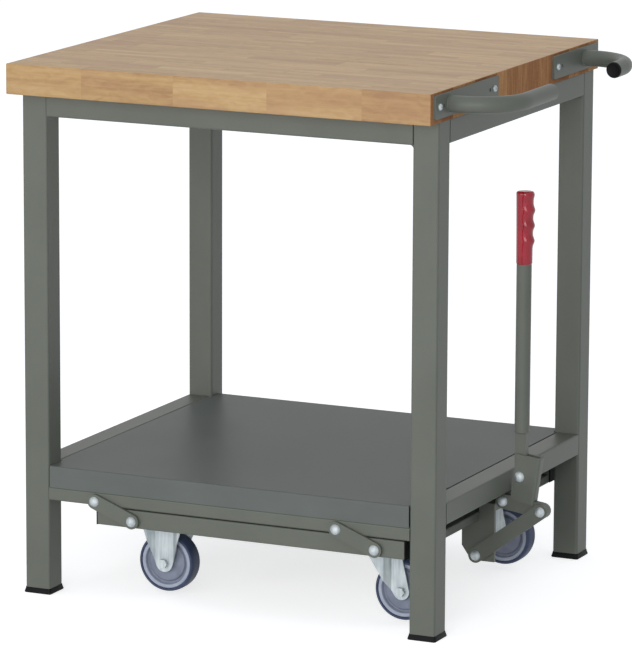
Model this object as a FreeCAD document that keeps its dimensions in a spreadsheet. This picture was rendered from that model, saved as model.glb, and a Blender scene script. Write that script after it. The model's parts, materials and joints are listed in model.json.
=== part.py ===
import FreeCAD, Part
import math
import os
from types import SimpleNamespace

import Sketcher
from FreeCAD import Placement, Rotation, Vector

# Mobile workbench: a laminated wooden top on a welded tube frame with a folded steel shelf.
# An undercarriage with four casters hangs under the shelf on four parallel swing links.
# A lever at the right side drives it through a push link. With the lever up the bench stands
# on its feet; with the lever out the undercarriage swings down and the wheels carry the bench.
# All sizes are in millimetres. X runs along the bench, Y from front to back, Z up.

SIZES = {
    # Worktop
    "top_length": 750,
    "top_depth": 700,
    "top_thickness": 50,
    "top_edge": 1.5,
    "bench_height": 890,
    "side_overhang": 5,
    "front_overhang": 45,
    "back_overhang": 5,
    # Legs and feet
    "leg_size": 45,
    "leg_wall": 2,
    "leg_corner": 4,
    "foot_height": 8,
    "foot_flare": 2,
    "foot_insert": 20,
    "foot_fit": 0.2,
    # Rails of the frame
    "rail_wall": 2,
    "rail_corner": 3,
    "upper_rail_width": 30,
    "upper_rail_height": 40,
    "lower_rail_width": 40,
    "lower_rail_height": 36,
    "hanger_width": 40,
    "hanger_height": 22,
    "rear_inset": 14,
    # Shelf
    "shelf_height": 219,
    "shelf_sheet": 2,
    "shelf_bend": 3,
    "shelf_return": 15,
    "shelf_gap": 1.5,
    # Screws that hold the worktop on the frame
    "top_screw": 6,
    "top_screw_depth": 30,
    "top_screw_head": 12,
    "top_screw_head_height": 4,
    "top_screw_access": 18,
    # Push handles
    "handle_margin": 11,
    "handle_raise": 2,
    "handle_plate": 4,
    "handle_plate_height": 38,
    "handle_plate_corner": 3,
    "handle_front_length": 250,
    "handle_rear_length": 193,
    "handle_tube_inset": 57,
    "handle_tube": 27,
    "handle_wall": 2,
    "handle_stub": 15,
    "handle_bend": 80,
    "handle_front_grip": 103,
    "handle_rear_grip": 31,
    "handle_plug": 3,
    "handle_plug_insert": 12,
    "handle_screw": 5,
    "handle_screw_depth": 30,
    "handle_screw_head": 11,
    "handle_screw_dome": 3.5,
    "handle_screw_inset": 16,
    "handle_hole_step": 18,
    "handle_hole": 6,
    # Undercarriage frame
    "beam_size": 30,
    "beam_wall": 2,
    "beam_corner": 2.5,
    "beam_gap": 1.5,
    "beam_left_gap": 90,
    "beam_right_gap": 9,
    "beam_plug": 2,
    "beam_plug_insert": 15,
    "channel_width": 130,
    "channel_sheet": 4,
    "left_caster_offset": 90,
    # Swing links and their pivots
    "link_left_gap": 87,
    "link_right_gap": 127,
    "link_run": 67.9,
    "link_drop": 26.8,
    "link_width": 25,
    "link_thickness": 6,
    "link_play": 0.5,
    "pivot_rise": 7.5,
    "pivot_bolt": 10,
    "pivot_fit": 0.06,
    "bolt_head": 17.5,
    "bolt_dome": 5.5,
    "nut_across": 19,
    "nut_height": 8,
    # Casters
    "wheel_diameter": 100,
    "wheel_width": 32,
    "wheel_lift": 9.5,
    "wheel_headroom": 14.5,
    "tyre_round": 5,
    "rim_diameter": 88,
    "rim_width": 28,
    "rim_ring": 7,
    "rim_groove": 4,
    "rim_groove_depth": 7,
    "rim_disc_depth": 3,
    "hub_diameter": 28,
    "hub_play": 0.5,
    "axle": 12,
    "axle_head": 16,
    "axle_head_height": 7,
    "fork_gap": 38,
    "fork_sheet": 2.5,
    "fork_panel": 36,
    "fork_slope": 10.6,
    "fork_flare": 9,
    "fork_top": 80,
    "fixed_lug": 30,
    "swivel_top": 60,
    "swivel_lug": 28,
    "swivel_trail": 32,
    "swivel_crown": 3,
    "swivel_play": 0.3,
    "race_diameter": 60,
    "race_height": 8.7,
    "king_pin": 20,
    "king_head": 30,
    "king_head_height": 5,
    "caster_plate": 3.5,
    "caster_plate_length": 105,
    "caster_plate_width": 85,
    "caster_plate_corner": 5,
    "caster_bolt": 8,
    "caster_bolt_across": 15,
    "caster_bolt_head": 5.5,
    "caster_holes_length": 80,
    "caster_holes_width": 60,
    "caster_front_gap": 12.5,
    "caster_rear_gap": 67.5,
    # Lever and push link
    "lever_offset": 19.5,
    "lever_inset": 12.3,
    "lever_pivot_drop": 17.5,
    "crank_run": 68.8,
    "crank_drop": 10.1,
    "crank_thickness": 12,
    "ear_thickness": 8,
    "push_run": 114.2,
    "push_drop": 85.4,
    "head_run": 35.4,
    "head_rise": 1.4,
    "head_width": 42,
    "head_height": 80,
    "head_sheet": 4,
    "head_bend": 5,
    "head_corner": 9,
    "head_notch": 8,
    "clamp_run": 30.5,
    "clamp_rise": 44.9,
    "lever_bar_width": 20,
    "lever_bar_below": 30,
    "lever_bar_above": 74.6,
    "lever_tube": 25,
    "lever_tube_wall": 2,
    "lever_tube_length": 397,
    "grip_diameter": 27.6,
    "grip_length": 120,
    "grip_cap": 3,
    "grip_flange": 29.5,
    "grip_flange_height": 8,
    "finger_ball": 22,
    "finger_reach": 17,
    "finger_first": 31.3,
    "finger_pitch": 25.4,
    # Bracket that the push link moves
    "bracket_thickness": 6,
    "bracket_left": 27,
    "bracket_right": 31.2,
    "bracket_below": 9.7,
    "bracket_chamfer_width": 17,
    "bracket_chamfer_height": 24,
    "bracket_corner": 8,
    "toggle_play": 1.8,
    "toggle_shift": 1.34,
    "toggle_sink": 0.51,
    # Shared fits
    "seat_fit": 0.05,
    "screw_clearance": 0.4,
    "overrun": 5,
}

HEAD_LEAN = 8.0
FINGER_RIDGES = 3
# Two places count as one when they are closer than this
CLOSE = 1e-3


class Size:
    """A length that is known as a number and as the expression that the sheet works out."""

    def __init__(self, value, text):
        self.value = value
        self.text = text

    def __add__(self, other):
        return Size(self.value + number(other), f"({self.text} + {words(other)})")

    def __sub__(self, other):
        return Size(self.value - number(other), f"({self.text} - {words(other)})")

    def __mul__(self, other):
        return Size(self.value * number(other), f"({self.text} * {words(other)})")

    def __truediv__(self, other):
        return Size(self.value / number(other), f"({self.text} / {words(other)})")

    def __neg__(self):
        return Size(-self.value, f"(-1 * {self.text})")


def number(size):
    """The plain number of a size."""
    return size.value if isinstance(size, Size) else size


def words(size):
    """The expression text of a size."""
    return size.text if isinstance(size, Size) else str(size)


def hypotenuse(a, b):
    """Length of the slanted side over two square sides."""
    return Size(math.hypot(a.value, b.value), f"sqrt({a.text}^2 + {b.text}^2)")


def tangent_point(radius, across, up, side):
    """Point where a line from (across, up) touches the circle of this radius round the origin."""
    reach = hypotenuse(across, up)
    turn = math.atan2(up.value, across.value) + side * math.acos(radius.value / reach.value)
    text = f"(atan2({up.text}; {across.text}) + {side} * acos({radius.text} / {reach.text}))"
    x = Size(radius.value * math.cos(turn), f"({radius.text} * cos{text})")
    y = Size(radius.value * math.sin(turn), f"({radius.text} * sin{text})")
    return x, y


doc = FreeCAD.newDocument("MobileWorkbench")
sheet = doc.addObject("Spreadsheet::Sheet", "Sizes")
for row, (size_name, size_value) in enumerate(SIZES.items(), start=1):
    sheet.set(f"A{row}", size_name)
    sheet.set(f"B{row}", str(size_value))
    sheet.setAlias(f"B{row}", size_name)
doc.recompute()
s = SimpleNamespace(**{name: Size(float(value), f"Sizes.{name}") for name, value in SIZES.items()})

UPRIGHT = Rotation()
# Local Z turned to X, with local X to Y and local Y to Z
ALONG_X = Rotation(Vector(1, 1, 1), 120)
# Local Z turned to Y, with local Y to Z
ALONG_Y = Rotation(Vector(0, 1, 1), 180)
# Local Z turned to +Y and to -Y
TO_BACK = Rotation(Vector(1, 0, 0), -90)
TO_FRONT = Rotation(Vector(1, 0, 0), 90)
# Local Z turned to -X and to +X
TO_LEFT = Rotation(Vector(0, 1, 0), -90)
TO_RIGHT = Rotation(Vector(0, 1, 0), 90)

pieces = []


def bind(obj, path, size):
    """Tie one property to the sheet."""
    obj.setExpression(path, words(size))


def place(obj, x, y, z, turn=UPRIGHT):
    """Put an object at a point that follows the sheet."""
    obj.Placement = Placement(Vector(number(x), number(y), number(z)), turn)
    for axis, size in zip("xyz", (x, y, z)):
        if isinstance(size, Size):
            bind(obj, f"Placement.Base.{axis}", size)
    return obj


def piece(obj):
    """Hand an object in as one sub-part."""
    pieces.append(obj)
    return obj


def block(name, length, width, height, x, y, z, turn=UPRIGHT):
    """Box from the corner (x, y, z)."""
    box = doc.addObject("Part::Box", name)
    bind(box, "Length", length)
    bind(box, "Width", width)
    bind(box, "Height", height)
    return place(box, x, y, z, turn)


def rod(name, radius, height, x, y, z, turn=UPRIGHT):
    """Cylinder that starts at (x, y, z)."""
    cylinder = doc.addObject("Part::Cylinder", name)
    bind(cylinder, "Radius", radius)
    bind(cylinder, "Height", height)
    return place(cylinder, x, y, z, turn)


def hexagon(name, across, height, x, y, z, turn=UPRIGHT):
    """Six-sided head or nut, measured across its corners."""
    prism = doc.addObject("Part::Prism", name)
    prism.Polygon = 6
    bind(prism, "Circumradius", across / 2)
    bind(prism, "Height", height)
    return place(prism, x, y, z, turn)


def fused(name, shapes):
    """One solid from several."""
    fusion = doc.addObject("Part::MultiFuse", name)
    fusion.Shapes = shapes
    fusion.Refine = True
    return fusion


def cut(name, base, tools):
    """A solid with the tools taken away."""
    tool = tools[0]
    if len(tools) > 1:
        tool = doc.addObject("Part::Compound", name + "_tools")
        tool.Links = tools
    result = doc.addObject("Part::Cut", name)
    result.Base = base
    result.Tool = tool
    result.Refine = True
    return result


def together(name, members):
    """Several separate solids kept as one sub-part."""
    compound = doc.addObject("Part::Compound", name)
    compound.Links = members
    return compound


def body_with_sketch(name, plane="XY_Plane"):
    """New body with an empty sketch on one of its own origin planes."""
    body = doc.addObject("PartDesign::Body", name)
    sketch = body.newObject("Sketcher::SketchObject", name + "_sketch")
    origin = next(f for f in body.Origin.OriginFeatures if f.Role == plane)
    sketch.AttachmentSupport = [(origin, "")]
    sketch.MapMode = "FlatFace"
    return body, sketch


def dimension(sketch, kind, first, first_end, second, second_end, size):
    """Distance between two points of a sketch, tied to the sheet."""
    rule = Sketcher.Constraint(kind, first, first_end, second, second_end, number(size))
    index = sketch.addConstraint(rule)
    bind(sketch, f"Constraints[{index}]", size)


def closed_line(sketch, corners):
    """Add a closed run of straight lines and return the number of the first one."""
    first = sketch.GeometryCount
    count = len(corners)
    points = [Vector(number(x), number(y), 0) for x, y in corners]
    for i in range(count):
        sketch.addGeometry(Part.LineSegment(points[i], points[(i + 1) % count]), False)
    for i in range(count):
        following = first + (i + 1) % count
        sketch.addConstraint(Sketcher.Constraint("Coincident", first + i, 2, following, 1))
    return first


def rectangle(sketch, width, height):
    """Closed rectangle centred on the sketch's origin."""
    x = width / 2
    y = height / 2
    first = closed_line(sketch, [(-x, -y), (x, -y), (x, y), (-x, y)])
    for i, kind in enumerate(("Horizontal", "Vertical", "Horizontal", "Vertical")):
        sketch.addConstraint(Sketcher.Constraint(kind, first + i))
    sketch.addConstraint(Sketcher.Constraint("Symmetric", first, 1, first + 1, 2, -1, 1))
    dimension(sketch, "DistanceX", first, 1, first, 2, width)
    dimension(sketch, "DistanceY", first + 1, 1, first + 1, 2, height)


def polygon(sketch, corners):
    """Closed outline whose corners are each held from the sketch's origin."""
    first = closed_line(sketch, corners)
    for i, (x, y) in enumerate(corners):
        if number(x) == 0:
            sketch.addConstraint(Sketcher.Constraint("PointOnObject", first + i, 1, -2))
        else:
            dimension(sketch, "DistanceX", -1, 1, first + i, 1, x)
        if number(y) == 0:
            sketch.addConstraint(Sketcher.Constraint("PointOnObject", first + i, 1, -1))
        else:
            dimension(sketch, "DistanceY", -1, 1, first + i, 1, y)


def padded(body, sketch, length):
    """Extrude a sketch."""
    pad = body.newObject("PartDesign::Pad", body.Name + "_pad")
    pad.Profile = sketch
    bind(pad, "Length", length)
    doc.recompute()
    return pad


def rounded(body, feature, radius, chosen):
    """Round the edges that the test picks."""
    edges = [f"Edge{i}" for i, edge in enumerate(feature.Shape.Edges, start=1) if chosen(edge)]
    fillet = body.newObject("PartDesign::Fillet", feature.Name + "_round")
    fillet.Base = (feature, edges)
    bind(fillet, "Radius", radius)
    doc.recompute()
    return fillet


def upright_edge(edge):
    """True for a straight edge along local Z."""
    ends = [v.Point for v in edge.Vertexes]
    return len(ends) == 2 and (ends[0] - ends[1]).cross(Vector(0, 0, 1)).Length < CLOSE


def edge_at(x, y):
    """Test for the edge along local Z through the point (x, y)."""
    spot = Vector(number(x), number(y), 0)

    def test(edge):
        if not upright_edge(edge):
            return False
        point = edge.Vertexes[0].Point
        return (Vector(point.x, point.y, 0) - spot).Length < CLOSE

    return test


def any_of(*tests):
    """Test that passes where one of the tests does."""
    return lambda edge: any(test(edge) for test in tests)


def tube(name, width, height, wall, corner, length):
    """Square or oblong tube along local Z with rounded outer corners."""
    body, sketch = body_with_sketch(name)
    rectangle(sketch, width, height)
    rectangle(sketch, width - wall * 2, height - wall * 2)
    pad = padded(body, sketch, length)
    x = width / 2
    y = height / 2
    corners = [edge_at(x, y), edge_at(-x, y), edge_at(x, -y), edge_at(-x, -y)]
    rounded(body, pad, corner, any_of(*corners))
    return body


def plate(name, length, width, thickness, corner):
    """Flat plate in local XY, centred, with rounded corners."""
    body, sketch = body_with_sketch(name)
    rectangle(sketch, length, width)
    pad = padded(body, sketch, thickness)
    rounded(body, pad, corner, upright_edge)
    return body


def plate_xz(name, corners, thickness, y_front):
    """Flat plate that stands in the XZ plane, its outline given in bench places."""
    body, sketch = body_with_sketch(name)
    polygon(sketch, corners)
    pad = padded(body, sketch, thickness)
    place(body, 0, y_front + thickness, 0, TO_FRONT)
    return body, pad


def turned(name, corners):
    """Solid of revolution about local Z from corners given as radius and height."""
    body, sketch = body_with_sketch(name, "XZ_Plane")
    polygon(sketch, corners)
    revolution = body.newObject("PartDesign::Revolution", name + "_turn")
    revolution.Profile = sketch
    revolution.ReferenceAxis = (sketch, ["V_Axis"])
    revolution.Angle = 360
    doc.recompute()
    return body, revolution


def dome(name, diameter, height):
    """Round head below local Z zero."""
    radius = diameter / 2
    ball = (radius * radius + height * height) / (height * 2)
    cap = doc.addObject("Part::Sphere", name)
    bind(cap, "Radius", ball)
    cap.Angle1 = -90
    cap.setExpression("Angle2", f"-1 * asin(1 - {height.text} / {ball.text})")
    return place(cap, 0, 0, ball - height)


def dome_bolt(name, diameter, length, head, head_height, nut_at=None):
    """Round-headed bolt along local Z, seated at zero, with a nut where one is asked for."""
    parts = [dome(name + "_head", head, head_height)]
    parts.append(rod(name + "_shank", diameter / 2, length, 0, 0, 0))
    if nut_at is not None:
        parts.append(hexagon(name + "_nut", s.nut_across, s.nut_height, 0, 0, nut_at))
    return fused(name, parts)


def link_bar(name, run, drop, thickness, hole_start, hole_end):
    """Flat bar with round ends from the origin to (run, -drop), holes at both ends."""
    length = hypotenuse(run, drop)
    half = s.link_width / 2
    parts = [block(name + "_flat", length, thickness, s.link_width, 0, 0, -half)]
    parts.append(rod(name + "_end_a", half, thickness, 0, 0, 0, TO_BACK))
    parts.append(rod(name + "_end_b", half, thickness, length, 0, 0, TO_BACK))
    through = thickness + s.overrun * 2
    tools = [rod(name + "_hole_a", hole_start, through, 0, -s.overrun, 0, TO_BACK)]
    tools.append(rod(name + "_hole_b", hole_end, through, length, -s.overrun, 0, TO_BACK))
    return cut(name, fused(name + "_outline", parts), tools)


def lean(run, drop):
    """Turn about Y that points local X along (run, -drop)."""
    return Rotation(Vector(0, 1, 0), math.degrees(math.atan2(drop.value, run.value)))


# Main places of the frame
reach = s.handle_plate + s.handle_stub + s.handle_bend + s.handle_tube / 2
left_end = -(s.top_length + reach) / 2
right_end = left_end + s.top_length
front_edge = -s.top_depth / 2
back_edge = s.top_depth / 2
frame_left = left_end + s.side_overhang
frame_right = right_end - s.side_overhang
frame_front = front_edge + s.front_overhang
frame_back = back_edge - s.back_overhang
frame_top = s.bench_height - s.top_thickness
inner_left = frame_left + s.leg_size
inner_right = frame_right - s.leg_size
inner_front = frame_front + s.leg_size
inner_back = frame_back - s.leg_size
rear_face = frame_back - s.rear_inset
hanger_top = s.shelf_height - s.lower_rail_height
hanger_bottom = hanger_top - s.hanger_height
mid_x = (frame_left + frame_right) / 2

# Main places of the undercarriage
beam_top = hanger_bottom - s.beam_gap
beam_bottom = beam_top - s.beam_size
beam_start = inner_left + s.beam_left_gap
beam_end = inner_right - s.beam_right_gap
beam_length = beam_end - beam_start
pivot_x = (inner_left + s.link_left_gap, inner_right - s.link_right_gap)
pivot_z = hanger_bottom + s.pivot_rise
lower_z = pivot_z - s.link_drop
axle_z = s.wheel_lift + s.wheel_diameter / 2
crown_top = s.wheel_lift + s.wheel_diameter + s.wheel_headroom + s.swivel_crown
plate_bottom = crown_top + s.swivel_play + s.race_height
plate_top = plate_bottom + s.caster_plate
fixed_x = beam_start + s.left_caster_offset
swivel_x = beam_end - s.channel_width / 2
caster_room = s.beam_size + s.caster_plate_width / 2
caster_y = (frame_front + caster_room + s.caster_front_gap, rear_face - caster_room - s.caster_rear_gap)

# Main places of the lever
lever_y = (caster_y[0] + caster_y[1]) / 2 + s.lever_offset
crank_front = lever_y - s.crank_thickness / 2
crank_back = lever_y + s.crank_thickness / 2
lever_x = frame_right - s.lever_inset
lever_z = hanger_top - s.lever_pivot_drop
crank_end_x = lever_x + s.crank_run
crank_end_z = lever_z - s.crank_drop
toggle_x = crank_end_x - s.push_run
toggle_z = crank_end_z - s.push_drop
clamp_x = lever_x + s.clamp_run
clamp_z = lever_z + s.clamp_rise
running = s.pivot_bolt / 2 + s.pivot_fit
seated = s.pivot_bolt / 2 + s.seat_fit


# Worktop and the screws that hold it
def worktop():
    body, sketch = body_with_sketch("worktop_slab")
    rectangle(sketch, s.top_length, s.top_depth)
    pad = padded(body, sketch, s.top_thickness)
    rounded(body, pad, s.top_edge, lambda edge: True)
    place(body, left_end + s.top_length / 2, 0, frame_top)
    tools = []
    depth = s.handle_screw_depth + s.overrun
    for i, (y, z) in enumerate(handle_screw_places()):
        start = right_end - s.handle_screw_depth
        tools.append(rod(f"handle_pilot_{i}", s.handle_screw / 2 + s.seat_fit, depth, start, y, z, TO_RIGHT))
    for i, (x, y) in enumerate(top_screw_places()):
        depth = s.top_screw_depth + s.overrun
        low = frame_top - s.overrun
        tools.append(rod(f"top_pilot_{i}", s.top_screw / 2 + s.seat_fit, depth, x, y, low))
    piece(cut("worktop", body, tools))


def handle_screw_places():
    z = s.bench_height - s.top_thickness / 2 + s.handle_raise
    front = front_edge + s.handle_margin
    back = back_edge - s.handle_margin
    inset = s.handle_screw_inset
    places = [(front + inset, z), (front + s.handle_front_length - inset, z)]
    places += [(back - inset, z), (back - s.handle_rear_length + inset, z)]
    return places


def top_screw_places():
    front = frame_front + s.upper_rail_width / 2
    back = frame_back - s.upper_rail_width / 2
    step = (inner_right - inner_left) / 4
    return [(mid_x + step * i, y) for y in (front, back) for i in (-1, 0, 1)]


def worktop_screws():
    screws = []
    for i, (x, y) in enumerate(top_screw_places()):
        seat = frame_top - s.rail_wall
        below = seat - s.top_screw_head_height
        head = rod(f"top_screw_{i}_head", s.top_screw_head / 2, s.top_screw_head_height, x, y, below)
        shank = rod(f"top_screw_{i}_shank", s.top_screw / 2, s.top_screw_depth + s.rail_wall, x, y, seat)
        screws.append(fused(f"top_screw_{i}", [head, shank]))
    for i, (y, z) in enumerate(handle_screw_places()):
        bolt = dome_bolt(f"handle_screw_{i}", s.handle_screw, s.handle_screw_depth + s.handle_plate,
                         s.handle_screw_head, s.handle_screw_dome)
        screws.append(place(bolt, right_end + s.handle_plate, y, z, TO_LEFT))
    piece(together("worktop_screws", screws))


# Frame: legs, feet and rails
def legs():
    caps = []
    half = s.leg_size / 2
    for side, x in (("left", frame_left + half), ("right", frame_right - half)):
        for end, y in (("front", frame_front + half), ("rear", frame_back - half)):
            name = f"leg_{end}_{side}"
            leg = tube(name, s.leg_size, s.leg_size, s.leg_wall, s.leg_corner, frame_top - s.foot_height)
            piece(place(leg, x, y, s.foot_height))
            caps.append(foot_cap(f"foot_{end}_{side}", x, y))
    piece(together("foot_caps", caps))


def foot_cap(name, x, y):
    """Plastic foot: a flared pad under the leg and a plug inside it."""
    half = s.leg_size / 2
    wide = half + s.foot_flare
    pad = doc.addObject("Part::Wedge", name + "_pad")
    for path, size in (("Xmin", -wide), ("Zmin", -wide), ("Xmax", wide), ("Zmax", wide)):
        bind(pad, path, size)
    for path, size in (("X2min", -half), ("Z2min", -half), ("X2max", half), ("Z2max", half)):
        bind(pad, path, size)
    pad.Ymin = 0
    bind(pad, "Ymax", s.foot_height)
    place(pad, 0, 0, 0, TO_FRONT)
    inside = s.leg_size - s.leg_wall * 2 - s.foot_fit * 2
    low = -(inside / 2)
    plug = block(name + "_plug", inside, inside, s.foot_insert, low, low, s.foot_height)
    return place(fused(name, [pad, plug]), x, y, 0)


def upper_rails():
    span = inner_right - inner_left
    depth = inner_back - inner_front
    z = frame_top - s.upper_rail_height / 2
    half = s.upper_rail_width / 2
    size = (s.upper_rail_width, s.upper_rail_height, s.rail_wall, s.rail_corner)
    screws = top_screw_places()
    for end, y in (("front", frame_front + half), ("rear", frame_back - half)):
        rail = place(tube(f"upper_rail_{end}_tube", *size, span), inner_left, y, z, ALONG_X)
        tools = []
        for i, (hole_x, hole_y) in enumerate(screws):
            if (number(hole_y) < 0) != (end == "front"):
                continue
            radius = s.top_screw / 2 + s.screw_clearance
            tools.append(rod(f"rail_hole_{i}", radius, s.upper_rail_height + s.overrun, hole_x, hole_y, z))
            low = frame_top - s.upper_rail_height - s.overrun
            high = s.upper_rail_height / 2 + s.overrun
            tools.append(rod(f"rail_access_{i}", s.top_screw_access / 2, high, hole_x, hole_y, low))
        piece(cut(f"upper_rail_{end}", rail, tools))
    for side, x in (("left", frame_left + half), ("right", frame_right - half)):
        rail = tube(f"upper_rail_{side}", *size, depth)
        piece(place(rail, x, inner_front, z, ALONG_Y))


def lower_rails():
    depth = inner_back - inner_front
    z = s.shelf_height - s.lower_rail_height / 2
    half = s.lower_rail_width / 2
    for side, x in (("left", frame_left + half), ("right", frame_right - half)):
        rail = tube(f"lower_rail_{side}", s.lower_rail_width, s.lower_rail_height,
                    s.rail_wall, s.rail_corner, depth)
        piece(place(rail, x, inner_front, z, ALONG_Y))


def hanger_rails():
    span = inner_right - inner_left
    half = s.hanger_width / 2
    for end, y in (("front", frame_front + half), ("rear", rear_face - half)):
        rail = tube(f"hanger_{end}_tube", s.hanger_width, s.hanger_height, s.rail_wall, s.rail_corner, span)
        place(rail, inner_left, y, hanger_bottom + s.hanger_height / 2, ALONG_X)
        tools = []
        through = s.hanger_width + s.overrun * 2
        for i, x in enumerate(pivot_x):
            low = y - half - s.overrun
            tools.append(rod(f"hanger_{end}_hole_{i}", seated, through, x, low, pivot_z, TO_BACK))
        piece(cut(f"hanger_rail_{end}", rail, tools))


def shelf():
    """Folded tray: top sheet, two lips and two return flanges that stand on the hanger rails."""
    deep = rear_face - frame_front
    high = s.lower_rail_height
    t = s.shelf_sheet
    flange = s.shelf_return
    corners = [(0, 0), (deep, 0), (deep, -high), (deep - flange, -high), (deep - flange, t - high)]
    corners += [(deep - t, t - high), (deep - t, -t), (t, -t), (t, t - high)]
    corners += [(flange, t - high), (flange, -high), (0, -high)]
    body, sketch = body_with_sketch("shelf_fold")
    polygon(sketch, corners)
    start = frame_left + s.lower_rail_width + s.shelf_gap
    length = frame_right - s.lower_rail_width - s.shelf_gap - start
    pad = padded(body, sketch, length)
    rounded(body, pad, s.shelf_bend, any_of(edge_at(0, 0), edge_at(deep, 0)))
    place(body, start, frame_front, s.shelf_height, ALONG_X)
    tools = []
    tall = high + s.overrun * 2
    low = s.shelf_height - high - s.overrun
    wide = inner_left + s.shelf_gap - start + s.overrun
    long = s.leg_size + s.shelf_gap + s.overrun
    for side, x in (("left", start - s.overrun), ("right", inner_right - s.shelf_gap)):
        tools.append(block(f"notch_front_{side}", wide, long, tall, x, frame_front - s.overrun, low))
        tools.append(block(f"notch_rear_{side}", wide, long, tall, x, inner_back - s.shelf_gap, low))
    piece(cut("shelf_tray", body, tools))


# Push handles
def handles():
    z = s.bench_height - s.top_thickness / 2 + s.handle_raise
    front = front_edge + s.handle_margin
    back = back_edge - s.handle_margin
    plugs = []
    setups = (("front", front, 1, s.handle_front_length, s.handle_front_grip),
              ("rear", back, -1, s.handle_rear_length, s.handle_rear_grip))
    for end, edge, way, length, grip in setups:
        middle = edge + length * way / 2
        strip = plate(f"handle_{end}_strip", length, s.handle_plate_height, s.handle_plate,
                      s.handle_plate_corner)
        place(strip, right_end, middle, z, ALONG_X)
        tools = []
        step = s.handle_screw_inset
        spare = s.handle_screw_inset + s.handle_hole_step
        through = s.handle_plate + s.overrun * 2
        for i, along in enumerate((step, length - step, spare, length - spare)):
            y = edge + along * way
            radius = s.handle_hole / 2
            if i < 2:
                radius = s.handle_screw / 2 + s.screw_clearance
            start = right_end - s.overrun
            tools.append(rod(f"handle_{end}_hole_{i}", radius, through, start, y, z, TO_RIGHT))
        piece(cut(f"handle_plate_{end}", strip, tools))
        axis = edge + s.handle_tube_inset * way
        piece(handle_tube(end, axis, z, way, grip))
        plugs.append(handle_plug(end, axis, z, way, grip))
    piece(together("handle_plugs", plugs))


def handle_run(name, radius, way, grip, ends):
    """Straight stub, quarter bend and straight grip of one handle, from the origin or before it."""
    begin, extra = ends
    stub = rod(name + "_stub", radius, s.handle_stub + extra, begin, 0, 0, TO_RIGHT)
    bend = doc.addObject("Part::Torus", name + "_bend")
    bind(bend, "Radius1", s.handle_bend)
    bind(bend, "Radius2", radius)
    bend.Angle3 = 90
    turn = Rotation(Vector(0, 0, 1), -90 if way > 0 else 0)
    place(bend, s.handle_stub, s.handle_bend * way, 0, turn)
    x = s.handle_stub + s.handle_bend
    straight = rod(name + "_grip", radius, grip + extra, x, s.handle_bend * way, 0,
                   TO_BACK if way > 0 else TO_FRONT)
    return fused(name, [stub, bend, straight])


def handle_tube(end, y, z, way, grip):
    outer = handle_run(f"handle_{end}_outer", s.handle_tube / 2, way, grip, (0, 0))
    bore = s.handle_tube / 2 - s.handle_wall
    inner = handle_run(f"handle_{end}_inner", bore, way, grip, (-s.overrun, s.overrun))
    return place(cut(f"handle_tube_{end}", outer, [inner]), right_end + s.handle_plate, y, z)


def handle_plug(end, y, z, way, grip):
    turn = TO_BACK if way > 0 else TO_FRONT
    x = right_end + s.handle_plate + s.handle_stub + s.handle_bend
    tip = y + (s.handle_bend + grip) * way
    bore = s.handle_tube / 2 - s.handle_wall - s.seat_fit
    cap = rod(f"handle_{end}_cap", s.handle_tube / 2, s.handle_plug, 0, 0, 0)
    inside = rod(f"handle_{end}_inside", bore, s.handle_plug_insert, 0, 0, -s.handle_plug_insert)
    return place(fused(f"handle_{end}_plug", [cap, inside]), x, tip, z, turn)


# Undercarriage frame
def beams():
    plugs = []
    half = s.beam_size / 2
    for end, y in (("front", frame_front + half), ("rear", rear_face - half)):
        name = f"beam_{end}"
        bar = tube(name + "_tube", s.beam_size, s.beam_size, s.beam_wall, s.beam_corner, beam_length)
        place(bar, beam_start, y, beam_bottom + half, ALONG_X)
        tools = []
        for i, x in enumerate(pivot_x):
            low = y - half - s.overrun
            through = s.beam_size + s.overrun * 2
            hole = rod(f"{name}_hole_{i}", seated, through, x + s.link_run, low, lower_z, TO_BACK)
            tools.append(hole)
        piece(cut(name, bar, tools))
        for side, x, turn in (("left", beam_start, TO_LEFT), ("right", beam_end, TO_RIGHT)):
            inside = s.beam_size - s.beam_wall * 2 - s.foot_fit * 2
            low = -(inside / 2)
            cap = block(f"{name}_{side}_cap", s.beam_size, s.beam_size, s.beam_plug, -half, -half, 0)
            core = block(f"{name}_{side}_core", inside, inside, s.beam_plug_insert, low, low,
                         -s.beam_plug_insert)
            plug = fused(f"{name}_{side}_plug", [cap, core])
            plugs.append(place(plug, x, y, beam_bottom + half, turn))
    piece(together("beam_end_plugs", plugs))


def caster_hole_places(x, y):
    across = s.caster_holes_length / 2
    deep = s.caster_holes_width / 2
    return [(x - across, y - deep), (x + across, y - deep), (x - across, y + deep), (x + across, y + deep)]


def caster_holes(name, x):
    """Bolt holes for the two casters at one side."""
    tools = []
    radius = s.caster_bolt / 2 + s.screw_clearance
    through = s.caster_plate + s.channel_sheet + s.overrun * 2
    for y in caster_y:
        for hole_x, hole_y in caster_hole_places(x, y):
            low = plate_bottom - s.overrun
            tools.append(rod(f"{name}_hole_{len(tools)}", radius, through, hole_x, hole_y, low))
    return tools


def channels():
    front = frame_front + s.beam_size
    length = rear_face - s.beam_size - front
    t = s.channel_sheet
    high = plate_top + t
    for side, x in (("left", fixed_x), ("right", swivel_x)):
        a = x - s.channel_width / 2
        b = x + s.channel_width / 2
        corners = [(a, beam_bottom), (a + t, beam_bottom), (a + t, plate_top), (b - t, plate_top)]
        corners += [(b - t, beam_bottom), (b, beam_bottom), (b, high), (a, high)]
        body, pad = plate_xz(f"channel_{side}_fold", corners, length, front)
        rounded(body, pad, s.beam_corner, any_of(edge_at(a, high), edge_at(b, high)))
        piece(cut(f"cross_channel_{side}", body, caster_holes(f"channel_{side}", x)))


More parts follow.
